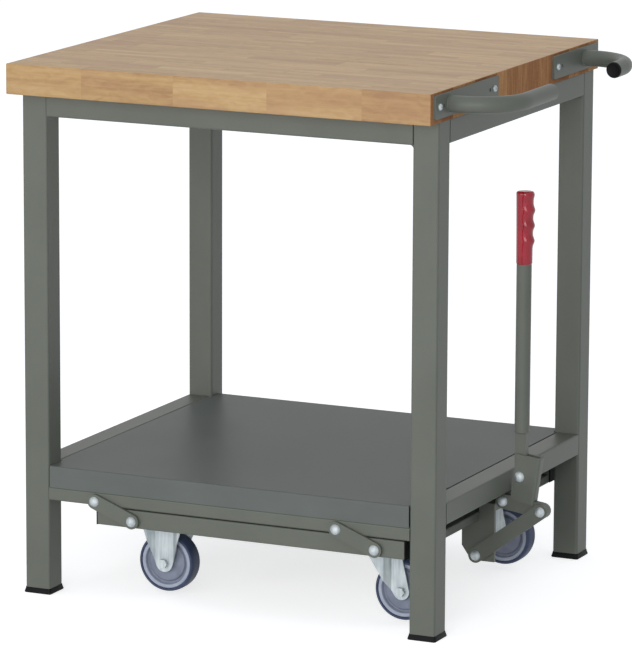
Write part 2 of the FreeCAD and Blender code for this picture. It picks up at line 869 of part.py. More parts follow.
def caster_bolts():
    bolts = []
    for x in (fixed_x, swivel_x):
        for y in caster_y:
            for hole_x, hole_y in caster_hole_places(x, y):
                name = f"caster_bolt_{len(bolts)}"
                low = plate_bottom - s.caster_bolt_head
                grip = plate_top + s.channel_sheet
                shank = grip - plate_bottom + s.caster_bolt_head
                size = (s.caster_bolt_across, s.caster_bolt_head, hole_x, hole_y)
                parts = [hexagon(name + "_head", *size, low), hexagon(name + "_nut", *size, grip)]
                parts.append(rod(name + "_shank", s.caster_bolt / 2, shank, hole_x, hole_y, plate_bottom))
                bolts.append(fused(name, parts))
    piece(together("caster_plate_bolts", bolts))


# Casters
def caster_plate(name, x, y):
    strip = plate(name, s.caster_plate_length, s.caster_plate_width, s.caster_plate, s.caster_plate_corner)
    return place(strip, x, y, plate_bottom)


def pressed_line(far, way):
    """Plan of one pressed fork side: a flat panel, a slope at each end and the flanges out to far."""
    inside = s.fork_gap / 2
    t = s.fork_sheet
    panel = s.fork_panel / 2
    flange = panel + s.fork_slope
    outside = inside + s.fork_flare
    # The outer face of the sheet folds nearer to the middle than the inner face
    fold = t * (hypotenuse(s.fork_flare, s.fork_slope) - s.fork_slope) / s.fork_flare
    right = [(panel, inside), (flange, outside), (far, outside)]
    right += [(far, outside + t), (flange - fold, outside + t), (panel - fold, inside + t)]
    left = [(-x, y) for x, y in reversed(right)]
    return [(x, y * way) for x, y in right + left]


def fork_sides(name, top_left, top_right, high, lug):
    """Two pressed fork sides about the axle at the origin."""
    radius = lug / 2
    wide = s.fork_gap + (s.fork_sheet + s.fork_flare) * 2
    corners = [(top_left, high), tangent_point(radius, top_left, high, 1)]
    corners += [tangent_point(radius, top_right, high, -1), (top_right, high)]
    body, sketch = body_with_sketch(name + "_trapeze")
    polygon(sketch, corners)
    padded(body, sketch, wide)
    place(body, 0, wide / 2, 0, TO_FRONT)
    round_end = rod(name + "_lug", radius, wide, 0, -(wide / 2), 0, TO_BACK)
    outline = fused(name + "_outline", [body, round_end])
    low = -(radius + s.overrun)
    far = top_right - top_left + s.swivel_trail
    hole = s.axle / 2 + s.seat_fit
    bore = rod(name + "_bore", hole, wide + s.overrun * 2, 0, -(wide / 2) - s.overrun, 0, TO_BACK)
    sides = []
    for end, way in (("back", 1), ("front", -1)):
        body, sketch = body_with_sketch(f"{name}_pressing_{end}")
        polygon(sketch, pressed_line(far, way))
        padded(body, sketch, high - low)
        place(body, 0, 0, low)
        side = doc.addObject("Part::Common", f"{name}_blank_{end}")
        side.Base = outline
        side.Tool = body
        sides.append(cut(f"{name}_side_{end}", side, [bore]))
    return sides


def fixed_casters():
    axles = []
    for end, y in zip(("front", "rear"), caster_y):
        name = f"fixed_fork_{end}"
        half = s.fork_top / 2
        sides = fork_sides(name, -half, half, plate_bottom - axle_z, s.fixed_lug)
        both = place(together(name + "_sides", sides), fixed_x, y, axle_z)
        # Room for the heads of the plate's bolts in the flanges
        clear = s.caster_bolt_head + s.screw_clearance
        radius = s.caster_bolt_across / 2 + s.screw_clearance
        low = plate_bottom - clear
        rooms = []
        for i, (hole_x, hole_y) in enumerate(caster_hole_places(fixed_x, y)):
            rooms.append(rod(f"{name}_room_{i}", radius, clear + s.overrun, hole_x, hole_y, low))
        pair = cut(name + "_pair", both, rooms)
        joined = fused(name + "_joined", [caster_plate(name + "_plate", fixed_x, y), pair])
        piece(cut(name, joined, caster_holes(name, fixed_x)))
        axles.append(axle(f"fixed_axle_{end}", fixed_x, y))
        wheel(f"{end}_left", fixed_x, y)
    piece(together("fixed_axles", axles))


def swivel_casters():
    for end, y in zip(("front", "rear"), caster_y):
        name = f"swivel_plate_{end}"
        base = caster_plate(name + "_base", swivel_x, y)
        low = plate_bottom - s.race_height
        race = rod(name + "_race", s.race_diameter / 2, s.race_height, swivel_x, y, low)
        pin_low = crown_top - s.swivel_crown - s.swivel_play
        pin = rod(name + "_pin", s.king_pin / 2, plate_bottom - pin_low, swivel_x, y, pin_low)
        head_low = pin_low - s.king_head_height
        head = rod(name + "_head", s.king_head / 2, s.king_head_height, swivel_x, y, head_low)
        joined = fused(name + "_joined", [base, race, pin, head])
        piece(cut(name, joined, caster_holes(name, swivel_x)))

        name = f"swivel_fork_{end}"
        half = s.swivel_top / 2
        top_left = -s.swivel_trail - half
        top_right = half - s.swivel_trail
        sides = fork_sides(name, top_left, top_right, crown_top - axle_z, s.swivel_lug)
        low = crown_top - axle_z - s.swivel_crown
        crown = swivel_crown(name + "_crown", top_left, top_right, low)
        joined = fused(name + "_joined", [crown] + sides)
        radius = s.king_pin / 2 + s.pivot_fit
        through = s.swivel_crown + s.overrun * 2
        hole = rod(name + "_pin_hole", radius, through, -s.swivel_trail, 0, low - s.overrun)
        piece(place(cut(name, joined, [hole]), swivel_x + s.swivel_trail, y, axle_z))
        piece(axle(f"swivel_axle_{end}", swivel_x + s.swivel_trail, y))
        wheel(f"{end}_right", swivel_x + s.swivel_trail, y)


def swivel_crown(name, left, right, low):
    """Top sheet of a swivel fork, as wide as the pressed sides under it."""
    narrow = s.fork_gap / 2 + s.fork_sheet
    wide = narrow + s.fork_flare
    panel = -(s.fork_panel / 2)
    flange = panel - s.fork_slope
    corners = [(left, -wide), (flange, -wide), (panel, -narrow), (right, -narrow)]
    corners += [(x, -y) for x, y in reversed(corners)]
    body, sketch = body_with_sketch(name)
    polygon(sketch, corners)
    padded(body, sketch, s.swivel_crown)
    return place(body, 0, 0, low)


def axle(name, x, y):
    """Axle bolt with a head and a nut outside the fork."""
    wide = s.fork_gap + s.fork_sheet * 2
    half = wide / 2
    tall = s.axle_head_height
    shank = rod(name + "_shank", s.axle / 2, wide, 0, 0, -half)
    head = hexagon(name + "_head", s.axle_head, tall, 0, 0, -half - tall)
    nut = hexagon(name + "_nut", s.axle_head, tall, 0, 0, half)
    return place(fused(name, [shank, head, nut]), x, y, axle_z, TO_BACK)


def wheel(name, x, y):
    """Rim with a hub, and the tyre on it."""
    bore = s.axle / 2 + s.pivot_fit
    hub = s.hub_diameter / 2
    rim = s.rim_diameter / 2
    ring = rim - s.rim_ring
    disc = ring - s.rim_groove
    hub_half = s.fork_gap / 2 - s.hub_play
    rim_half = s.rim_width / 2
    disc_half = rim_half - s.rim_disc_depth
    groove_half = rim_half - s.rim_groove_depth
    side = [(bore, hub_half), (hub, hub_half), (hub, disc_half), (disc, disc_half)]
    side += [(disc, groove_half), (ring, groove_half), (ring, rim_half), (rim, rim_half)]
    other = [(radius, -along) for radius, along in reversed(side)]
    body, _ = turned(f"wheel_rim_{name}", side + other)
    piece(place(body, x, y, axle_z, TO_BACK))
    inner = rim + s.seat_fit
    outer = s.wheel_diameter / 2
    half = s.wheel_width / 2
    section = [(inner, half), (outer, half), (outer, -half), (inner, -half)]
    body, feature = turned(f"wheel_tyre_{name}", section)
    rounded(body, feature, s.tyre_round, lambda edge: abs(widest(edge) - number(outer)) < CLOSE)
    piece(place(body, x, y, axle_z, TO_BACK))


def widest(edge):
    """Radius of a round edge, and nothing for any other edge."""
    return getattr(edge.Curve, "Radius", 0)


# Swing links and pivot bolts
def swing_links():
    stack = s.link_play * 2 + s.link_thickness
    bench_bolts = []
    carriage_bolts = []
    for end, face, way in (("front", frame_front, 1), ("rear", rear_face, -1)):
        near = face - (s.link_play + s.link_thickness) * way
        y = near if way > 0 else face + s.link_play
        seat = face - stack * way
        turn = TO_BACK if way > 0 else TO_FRONT
        for side, x in zip(("left", "right"), pivot_x):
            bar = link_bar(f"swing_link_{end}_{side}", s.link_run, s.link_drop, s.link_thickness,
                           running, running)
            piece(place(bar, x, y, pivot_z, lean(s.link_run, s.link_drop)))
            grip = stack + s.hanger_width
            name = f"hanger_bolt_{end}_{side}"
            bolt = dome_bolt(name, s.pivot_bolt, grip + s.nut_height, s.bolt_head, s.bolt_dome, grip)
            bench_bolts.append(place(bolt, x, seat, pivot_z, turn))
            grip = stack + s.beam_size - s.beam_wall
            name = f"beam_bolt_{end}_{side}"
            bolt = dome_bolt(name, s.pivot_bolt, grip, s.bolt_head, s.bolt_dome)
            carriage_bolts.append(place(bolt, x + s.link_run, seat, lower_z, turn))
    bench_bolts.append(lever_pivot_bolt())
    piece(together("bench_pivot_bolts", bench_bolts))
    piece(together("beam_pivot_bolts", carriage_bolts))


# Lever, push link and their brackets
def lever_mount():
    """Ear under the right rail that carries the lever."""
    radius = s.link_width / 2
    y = crank_back + s.link_play
    tall = hanger_top - lever_z
    body = block("lever_ear_body", s.link_width, s.ear_thickness, tall, lever_x - radius, y, lever_z)
    end = rod("lever_ear_end", radius, s.ear_thickness, lever_x, y, lever_z, TO_BACK)
    through = s.ear_thickness + s.overrun * 2
    hole = rod("lever_ear_hole", seated, through, lever_x, y - s.overrun, lever_z, TO_BACK)
    piece(cut("lever_ear", fused("lever_ear_outline", [body, end]), [hole]))


def lever_pivot_bolt():
    grip = s.link_play * 2 + s.crank_thickness + s.ear_thickness
    bolt = dome_bolt("lever_pivot_bolt", s.pivot_bolt, grip + s.nut_height, s.bolt_head, s.bolt_dome, grip)
    return place(bolt, lever_x, crank_front - s.link_play, lever_z, TO_BACK)


def crank():
    arm = link_bar("crank_arm", s.crank_run, s.crank_drop, s.crank_thickness, running, seated)
    piece(place(arm, lever_x, crank_front, lever_z, lean(s.crank_run, s.crank_drop)))

    # Folded head, open to the left, welded over the arm
    t = s.head_sheet
    half = s.head_width / 2
    deep = s.crank_thickness / 2 + t
    gap = s.crank_thickness / 2
    corners = [(-half, -deep), (half, -deep), (half, deep), (-half, deep)]
    corners += [(-half, gap), (half - t, gap), (half - t, -gap), (-half, -gap)]
    body, sketch = body_with_sketch("head_fold")
    polygon(sketch, corners)
    pad = padded(body, sketch, s.head_height)
    rounded(body, pad, s.head_bend, any_of(edge_at(half, -deep), edge_at(half, deep)))
    wide = deep * 2 + s.overrun * 2
    low_edge = -(deep + s.overrun)
    notch = block("head_notch", t + s.overrun, s.crank_thickness, s.head_notch + s.overrun,
                  half - t, -gap, -s.overrun)
    corner = block("head_corner", s.head_corner, wide, s.head_corner, -half, low_edge, 0)
    arc = rod("head_corner_arc", s.head_corner, wide, s.head_corner - half, low_edge, s.head_corner, TO_BACK)
    away = cut("head_corner_cut", corner, [arc])
    turn = Rotation(Vector(0, 1, 0), HEAD_LEAN)
    shell = cut("head_shell", body, [notch, away])
    head = place(shell, lever_x + s.head_run, lever_y, lever_z + s.head_rise, turn)
    through = deep * 2 + s.overrun * 2
    front = lever_y - deep - s.overrun
    hole = rod("head_hole", seated, through, clamp_x, front, clamp_z, TO_BACK)
    piece(cut("lever_head", head, [hole]))

    # Lever bar between the head's plates, the tube on it and the grip
    low = clamp_z - s.lever_bar_below
    high = s.lever_bar_below + s.lever_bar_above
    bar = block("lever_bar_flat", s.lever_bar_width, s.crank_thickness, high,
                clamp_x - s.lever_bar_width / 2, crank_front, low)
    hole = rod("lever_bar_hole", seated, through, clamp_x, front, clamp_z, TO_BACK)
    piece(cut("lever_bar", bar, [hole]))
    base = clamp_z + s.lever_bar_above
    outer = rod("lever_tube_outer", s.lever_tube / 2, s.lever_tube_length, clamp_x, lever_y, base)
    bore = s.lever_tube / 2 - s.lever_tube_wall
    inner = rod("lever_tube_inner", bore, s.lever_tube_length, clamp_x, lever_y, base + s.lever_tube_wall)
    piece(cut("lever_tube", outer, [inner]))
    piece(grip(base + s.lever_tube_length))

    # Clamp bolt of the head and pivot bolt of the push link
    clamp = dome_bolt("clamp_bolt", s.pivot_bolt, deep * 2 + s.nut_height,
                      s.bolt_head, s.bolt_dome, deep * 2)
    place(clamp, clamp_x, lever_y - deep, clamp_z, TO_BACK)
    span = s.link_play * 2 + s.link_thickness
    length = span + s.crank_thickness
    crank_bolt = dome_bolt("crank_bolt", s.pivot_bolt, length + s.nut_height,
                           s.bolt_head, s.bolt_dome, length)
    place(crank_bolt, crank_end_x, crank_front - span, crank_end_z, TO_BACK)
    piece(together("crank_bolts", [clamp, crank_bolt]))


def grip(tube_top):
    """Hand grip over the end of the lever tube, with finger ridges at its outer side."""
    top = tube_top + s.grip_cap
    low = top - s.grip_length
    parts = [rod("grip_sleeve", s.grip_diameter / 2, s.grip_length, clamp_x, lever_y, low)]
    flange_low = top - s.grip_flange_height
    parts.append(rod("grip_flange", s.grip_flange / 2, s.grip_flange_height, clamp_x, lever_y, flange_low))
    for i in range(FINGER_RIDGES):
        ridge = doc.addObject("Part::Sphere", f"grip_ridge_{i}")
        bind(ridge, "Radius", s.finger_ball / 2)
        x = clamp_x + s.finger_reach - s.finger_ball / 2
        parts.append(place(ridge, x, lever_y, top - s.finger_first - s.finger_pitch * i))
    deep = s.grip_length - s.grip_cap + s.overrun
    bore = rod("grip_bore", s.lever_tube / 2 + s.seat_fit, deep, clamp_x, lever_y, low - s.overrun)
    return cut("lever_grip", fused("grip_outline", parts), [bore])


def push_link():
    front = crank_front - s.link_play - s.link_thickness
    bar = link_bar("push_link", s.push_run, s.push_drop, s.link_thickness, running, seated)
    turn = Rotation(Vector(0, 1, 0), math.degrees(math.atan2(s.push_drop.value, -s.push_run.value)))
    piece(place(bar, crank_end_x, front, crank_end_z, turn))
    grip = s.link_thickness + s.link_play * 2 + s.bracket_thickness
    bolt = dome_bolt("toggle_bolt", s.pivot_bolt, grip + s.nut_height, s.bolt_head, s.bolt_dome, grip)
    piece(place(bolt, toggle_x, front, toggle_z, TO_BACK))


def push_bracket():
    """Plate under the right channel that the push link drives."""
    a = toggle_x - s.bracket_left
    b = toggle_x + s.bracket_right
    low = toggle_z - s.bracket_below
    inner = beam_end - s.channel_sheet
    slope = low + s.bracket_chamfer_height
    corners = [(a, plate_top), (a, slope), (a + s.bracket_chamfer_width, low), (b, low), (b, beam_top)]
    corners += [(beam_end, beam_top), (beam_end, beam_bottom), (inner, beam_bottom), (inner, plate_top)]
    body, pad = plate_xz("push_bracket_plate", corners, s.bracket_thickness, crank_front)
    rounded(body, pad, s.bracket_corner, edge_at(a + s.bracket_chamfer_width, low))
    through = s.bracket_thickness + s.overrun * 2
    hole = rod("push_bracket_hole", s.pivot_bolt / 2 + s.toggle_play, through, toggle_x + s.toggle_shift,
               crank_front - s.overrun, toggle_z - s.toggle_sink, TO_BACK)
    piece(cut("push_bracket", body, [hole]))


worktop()
worktop_screws()
legs()
upper_rails()
lower_rails()
hanger_rails()
shelf()
handles()
beams()
channels()
caster_bolts()
fixed_casters()
swivel_casters()
swing_links()
lever_mount()
crank()
push_link()
push_bracket()
doc.recompute()

for obj in doc.Objects:
    if "Invalid" in obj.State or "Error" in obj.State:
        raise RuntimeError(f"{obj.Label} did not build: {obj.State}")
for obj in pieces:
    if obj.Shape.isNull() or not obj.Shape.isValid() or not obj.Shape.Solids:
        raise RuntimeError(f"{obj.Label} has no sound solid")

os.makedirs("parts", exist_ok=True)
for obj in pieces:
    obj.Shape.exportStep(f"parts/{obj.Label}.step")
everything = FreeCAD.BoundBox()
for obj in pieces:
    everything.add(obj.Shape.BoundBox)
print(len(pieces), "sub-parts", everything)
for obj in pieces:
    print(obj.Label, len(obj.Shape.Solids), round(obj.Shape.Volume), obj.Shape.BoundBox)
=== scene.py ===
import json
import math

import bmesh
import bpy
import numpy as np
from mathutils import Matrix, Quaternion, Vector


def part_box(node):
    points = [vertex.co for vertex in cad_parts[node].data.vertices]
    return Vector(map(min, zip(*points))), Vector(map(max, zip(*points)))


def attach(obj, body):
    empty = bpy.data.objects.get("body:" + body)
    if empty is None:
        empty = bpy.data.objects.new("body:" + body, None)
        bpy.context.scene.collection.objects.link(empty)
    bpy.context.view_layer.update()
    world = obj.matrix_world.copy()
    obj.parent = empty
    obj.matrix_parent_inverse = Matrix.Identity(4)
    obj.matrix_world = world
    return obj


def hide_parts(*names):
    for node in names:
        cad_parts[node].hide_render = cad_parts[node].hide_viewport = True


# Looks of the mobile workbench: finishes for the CAD pieces, and the small formed details on them.
# Shapes are worked out in millimetres in the CAD frame, and MM turns them into metres.

MM = 0.001

# Width of a stave of the worktop in metres, and radius of the handle tubes in millimetres
STAVE = 43.75 * MM
HANDLE_RADIUS = 13.5

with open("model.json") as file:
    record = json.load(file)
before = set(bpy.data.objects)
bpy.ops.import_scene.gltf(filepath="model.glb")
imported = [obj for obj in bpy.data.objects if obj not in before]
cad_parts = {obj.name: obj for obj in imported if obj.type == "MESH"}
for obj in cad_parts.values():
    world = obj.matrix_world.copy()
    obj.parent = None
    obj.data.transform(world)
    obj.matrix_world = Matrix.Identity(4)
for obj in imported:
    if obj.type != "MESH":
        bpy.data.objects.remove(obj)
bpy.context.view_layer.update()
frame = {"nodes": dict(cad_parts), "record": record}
nodes = frame["nodes"]


# Material tools
def linear(hex_colour):
    """Linear RGBA of an sRGB hex colour, by the sRGB curve."""
    channels = [int(hex_colour[i:i + 2], 16) / 255 for i in (1, 3, 5)]
    return [c / 12.92 if c <= 0.04045 else ((c + 0.055) / 1.055) ** 2.4 for c in channels] + [1.0]


def feed(node, feeds):
    """Give a node's inputs, by name or by number, their values, sockets or other nodes."""
    for key, value in feeds.items():
        open_sockets = [socket for socket in node.inputs if socket.enabled]
        named = [socket for socket in open_sockets if socket.name == key]
        socket = named[0] if named else open_sockets[key]
        if isinstance(value, bpy.types.Node):
            value = next(output for output in value.outputs if output.enabled)
        if isinstance(value, bpy.types.NodeSocket):
            node.id_data.links.new(value, socket)
        else:
            socket.default_value = value


def add(tree, kind, feeds=None, stops=None, **settings):
    """Add one shader node of a kind with its properties, its inputs and, for a colour ramp, its stops."""
    made = tree.nodes.new(f"ShaderNode{kind}")
    for name, value in settings.items():
        setattr(made, name, value)
    feed(made, feeds or {})
    if stops:
        elements = made.color_ramp.elements
        while len(elements) < len(stops):
            elements.new(1.0)
        for element, (position, colour) in zip(elements, stops):
            element.position = position
            element.color = linear(colour)
    return made


def finish_of(name, **values):
    """New material with its Principled shader set: the material, tree, shader and Object coordinates."""
    material = bpy.data.materials.new(name)
    material.use_nodes = True
    tree = material.node_tree
    shader = tree.nodes["Principled BSDF"]
    for key, value in values.items():
        shader.inputs[key.replace("_", " ")].default_value = value
    place = add(tree, "TexCoord").outputs["Object"]
    return material, tree, shader, place


def per_mm(size):
    """Texture scale that gives features of this size in millimetres."""
    return 1 / (size * MM)


def drawn_out(tree, place, shares, shift=0.0):
    """Coordinates times a share along each axis, plus a shift along X: a small share makes a pattern long."""
    offset = add(tree, "CombineXYZ", {"X": shift})
    return add(tree, "VectorMath", {0: place, 1: shares, 2: offset}, operation="MULTIPLY_ADD")


# Powder coat
def powder_coat(name, darker, lighter, roughness, shine):
    """Powder coat on steel: an even satin colour, faintly cloudy, with a fine orange peel."""
    glossiest = roughness - 0.05
    dullest = roughness + 0.06
    # Orange peel is 1 to 2 mm across, drawn at 3 mm so that it still shows
    peel_size = 3
    peel_depth = 0.12 * MM
    material, tree, shader, place = finish_of(name, IOR=1.5, Specular_IOR_Level=shine)
    cloud = add(tree, "TexNoise", {"Vector": place, "Scale": per_mm(110), "Detail": 3.0})
    colour = add(tree, "ValToRGB", {"Fac": cloud}, [(0.3, darker), (0.75, lighter)])
    gloss = add(tree, "MapRange", {"Value": cloud, "To Min": glossiest, "To Max": dullest})
    peel = add(tree, "TexNoise", {"Vector": place, "Scale": per_mm(peel_size), "Detail": 2.0})
    bump = add(tree, "Bump", {"Height": peel, "Strength": 0.1, "Distance": peel_depth})
    feed(shader, {"Base Color": colour, "Roughness": gloss, "Normal": bump})
    return material


# Oiled beech
def stave_blocks(tree, place):
    """Staves that run along the bench, each a row of blocks end to end. Gives the place across the top
    counted in staves, the row, and two numbers from nought to one that every block has to itself."""
    block = 165 * MM
    # A joint between two blocks of the front row, and the share of a block that each row slips by
    front_joint = 36 * MM
    row_slip = 0.377
    # Half of the sixteen rows, and a hair more so that the front face falls in the first row
    first_row = 8.001
    x, y, _ = add(tree, "SeparateXYZ", {"Vector": place}).outputs
    across = add(tree, "Math", {0: y, 1: 1 / STAVE, 2: first_row}, operation="MULTIPLY_ADD")
    row = add(tree, "Math", {0: across}, operation="FLOOR")
    slip = add(tree, "Math", {0: row, 1: row_slip}, operation="MULTIPLY")
    start = add(tree, "Math", {0: x, 1: front_joint}, operation="SUBTRACT")
    along = add(tree, "Math", {0: start, 1: 1 / block, 2: slip}, operation="MULTIPLY_ADD")
    step = add(tree, "Math", {0: along}, operation="FLOOR")
    address = add(tree, "CombineXYZ", {"X": row, "Y": step})
    tone = add(tree, "TexWhiteNoise", {"Vector": address}, noise_dimensions="2D").outputs["Value"]
    red = add(tree, "TexWhiteNoise", {"Vector": address}, noise_dimensions="3D").outputs["Value"]
    return across, row, tone, red


def beech_streaks(tree, place, tone):
    """Streaks of the long grain, fine and wide, drawn out thirty times along it and shifted from block to
    block, and ray flecks about 4 mm wide and three times as long that break them up."""
    # Up to two metres of the pattern lie between one block and the next
    block_shift = 2.0
    shift = add(tree, "Math", {0: tone, 1: block_shift}, operation="MULTIPLY")
    streak = drawn_out(tree, place, (0.033, 1, 1), shift)
    fine = add(tree, "TexNoise", {"Vector": streak, "Scale": per_mm(5), "Detail": 4.0, "Roughness": 0.6,
                                  "Distortion": 0.3})
    wide = add(tree, "TexNoise", {"Vector": streak, "Scale": per_mm(22), "Detail": 3.0, "Distortion": 0.5})
    fleck = drawn_out(tree, place, (0.33, 1, 1), shift)
    flecks = add(tree, "TexNoise", {"Vector": fleck, "Scale": per_mm(8), "Detail": 3.0, "Distortion": 0.8})
    return fine, wide, flecks


def beech_long_grain(tree, place, tone, red, fine, wide, flecks):
    """Colour along the grain: the streaks and each block's tone, pinkish heartwood that comes and goes in
    soft patches six times as long as wide, and pin knots of a few millimetres, far apart."""
    level = 0.0
    for pattern, share in ((fine, 0.22), (flecks, 0.26), (wide, 0.42), (tone, 0.08)):
        level = add(tree, "Math", {0: pattern, 1: share, 2: level}, operation="MULTIPLY_ADD")
    sawn = add(tree, "ValToRGB", {"Fac": level}, [(0.37, "#A67F52"), (0.49, "#BE9965"), (0.62, "#CDAB79")])

    patch = drawn_out(tree, place, (0.17, 1, 1), red)
    patches = add(tree, "TexNoise", {"Vector": patch, "Scale": per_mm(40), "Detail": 3.0})
    blush = add(tree, "Math", {0: red, 1: 0.25, 2: patches}, operation="MULTIPLY_ADD")
    pink = add(tree, "MapRange", {"Value": blush, "From Min": 0.5, "From Max": 0.92, "To Max": 0.75})
    blushed = add(tree, "Mix", {"Factor": pink, "A": sawn, "B": linear("#A87C5C")}, data_type="RGBA")

    knots = add(tree, "TexVoronoi", {"Vector": place, "Scale": per_mm(75), "Randomness": 1.0})
    knot = add(tree, "MapRange", {"Value": knots.outputs["Distance"], "From Min": 0.03, "From Max": 0.09,
                                  "To Min": 0.4, "To Max": 0.0})
    return add(tree, "Mix", {"Factor": knot, "A": blushed, "B": linear("#8A6040")}, data_type="RGBA")


def beech_end_grain(tree, place, row):
    """Colour of the sawn ends: one reddish tone for each stave, rays drawn out eight times up the board,
    and pores, which are finer than a millimetre and drawn at 2 mm to show."""
    stave_tone = add(tree, "TexWhiteNoise", {"W": row}, noise_dimensions="1D").outputs["Value"]
    upright = drawn_out(tree, place, (1, 1, 0.12))
    rays = add(tree, "TexNoise", {"Vector": upright, "Scale": per_mm(6), "Detail": 3.0})
    pores = add(tree, "TexNoise", {"Vector": place, "Scale": per_mm(2), "Detail": 2.0})
    level = 0.0
    for pattern, share in ((stave_tone, 0.32), (rays, 0.35), (pores, 0.2)):
        level = add(tree, "Math", {0: pattern, 1: share, 2: level}, operation="MULTIPLY_ADD")
    return add(tree, "ValToRGB", {"Fac": level}, [(0.2, "#7C4E2B"), (0.43, "#95643D"), (0.66, "#C0905F")])


def beech_block():
    """Oiled beech glued up from staves: satin long grain on the top and front, dull end grain at the ends."""
    # Glue lines are a hair wide, drawn at half a millimetre to show
    glue_width = 0.5 * MM
    glue_strength = 0.25
    end_roughness = 0.9
    material, tree, shader, place = finish_of("oiled_beech", IOR=1.47, Specular_IOR_Level=0.42)
    across, row, tone, red = stave_blocks(tree, place)
    fine, wide, flecks = beech_streaks(tree, place, tone)
    along = beech_long_grain(tree, place, tone, red, fine, wide, flecks)
    ends = beech_end_grain(tree, place, row)
    facing = add(tree, "SeparateXYZ", {"Vector": add(tree, "NewGeometry").outputs["Normal"]})
    sideways = add(tree, "Math", {0: facing.outputs["X"]}, operation="ABSOLUTE")
    at_end = add(tree, "MapRange", {"Value": sideways, "From Min": 0.45, "From Max": 0.75})
    wood = add(tree, "Mix", {"Factor": at_end, "A": along, "B": ends}, data_type="RGBA")

    # A glue line lies where the place across is furthest from the middle of its stave
    part = add(tree, "Math", {0: across}, operation="FRACT")
    off_middle = add(tree, "Math", {0: part, 1: 0.5}, operation="SUBTRACT")
    reach = add(tree, "Math", {0: off_middle}, operation="ABSOLUTE")
    glue = add(tree, "Math", {0: reach, 1: 0.5 - glue_width / 2 / STAVE}, operation="GREATER_THAN")
    faint = add(tree, "Math", {0: glue, 1: glue_strength}, operation="MULTIPLY")
    lined = add(tree, "Mix", {"Factor": faint, "A": wood, "B": linear("#6A4A32")}, data_type="RGBA")
    planed = add(tree, "MapRange", {"Value": fine, "To Min": 0.37, "To Max": 0.53})
    gloss = add(tree, "Mix", {"Factor": at_end, "A": planed, "B": end_roughness})
    bump = add(tree, "Bump", {"Height": fine, "Strength": 0.12, "Distance": 0.2 * MM})
    feed(shader, {"Base Color": lined, "Roughness": gloss, "Normal": bump})
    return material


# Zinc, plastics and rubber
def zinc_plate():
    """Bright zinc plating on pressed steel: cool pale metal with faint drawn streaks and a soft haze."""
    # Dimples of the forming tools are under a millimetre, drawn at 2.5 mm to show
    dimple_size = 2.5
    dimple_depth = 0.2 * MM
    material, tree, shader, place = finish_of("zinc_plated_steel", Metallic=1.0)
    upright = drawn_out(tree, place, (1, 1, 0.08))
    streak = add(tree, "TexNoise", {"Vector": upright, "Scale": per_mm(4), "Detail": 3.0})
    haze = add(tree, "TexNoise", {"Vector": place, "Scale": per_mm(30), "Detail": 3.0})
    both = add(tree, "Mix", {"Factor": 0.5, "A": streak, "B": haze})
    colour = add(tree, "ValToRGB", {"Fac": both}, [(0.35, "#9EA7AB"), (0.65, "#C3C9CB")])
    gloss = add(tree, "MapRange", {"Value": haze, "To Min": 0.58, "To Max": 0.78})
    dimples = add(tree, "TexNoise", {"Vector": place, "Scale": per_mm(dimple_size), "Detail": 2.0})
    bump = add(tree, "Bump", {"Height": dimples, "Strength": 0.25, "Distance": dimple_depth})
    feed(shader, {"Base Color": colour, "Roughness": gloss, "Normal": bump})
    return material


def moulded(name, darker, lighter, roughness, shine, grit):
    """Moulded plastic or rubber: a dull colour, slightly uneven, with the fine texture of its mould."""
    glossiest = roughness - 0.1
    dullest = roughness + 0.1
    material, tree, shader, place = finish_of(name, IOR=1.5, Specular_IOR_Level=shine)
    dust = add(tree, "TexNoise", {"Vector": place, "Scale": per_mm(18), "Detail": 4.0})
    colour = add(tree, "ValToRGB", {"Fac": dust}, [(0.35, darker), (0.75, lighter)])
    gloss = add(tree, "MapRange", {"Value": dust, "To Min": glossiest, "To Max": dullest})
    spark = add(tree, "TexNoise", {"Vector": place, "Scale": per_mm(grit), "Detail": 2.0})
    bump = add(tree, "Bump", {"Height": spark, "Strength": 0.2, "Distance": 0.1 * MM})
    feed(shader, {"Base Color": colour, "Roughness": gloss, "Normal": bump})
    return material


def wheel_plastic():
    """Moulded polyamide of the wheel: blue-grey, the disc duller than the ring round it and darker with
    painted shade of its recess, as the tone at each point says."""
    disc_roughness = 0.46
    ring_roughness = 0.34
    dust_roughness = 0.12
    grit = 1.4
    material, tree, shader, place = finish_of("moulded_polyamide_grey", IOR=1.5, Specular_IOR_Level=0.35)
    dust = add(tree, "TexNoise", {"Vector": place, "Scale": per_mm(16), "Detail": 4.0})
    # The disc's darker colour is painted shade of its recess
    disc_painted_shade = add(tree, "ValToRGB", {"Fac": dust}, [(0.35, "#747A8A"), (0.75, "#848A9A")])
    ring = add(tree, "ValToRGB", {"Fac": dust}, [(0.35, "#9CA3B3"), (0.75, "#AAB0BF")])
    tone = add(tree, "Attribute", attribute_name="tone").outputs["Fac"]
    colour = add(tree, "Mix", {"Factor": tone, "A": disc_painted_shade, "B": ring}, data_type="RGBA")
    clean = add(tree, "MapRange", {"Value": tone, "To Min": disc_roughness, "To Max": ring_roughness})
    gloss = add(tree, "Math", {0: dust, 1: dust_roughness, 2: clean}, operation="MULTIPLY_ADD")
    spark = add(tree, "TexNoise", {"Vector": place, "Scale": per_mm(grit), "Detail": 2.0})
    bump = add(tree, "Bump", {"Height": spark, "Strength": 0.15, "Distance": 0.1 * MM})
    feed(shader, {"Base Color": colour, "Roughness": gloss, "Normal": bump})
    return material


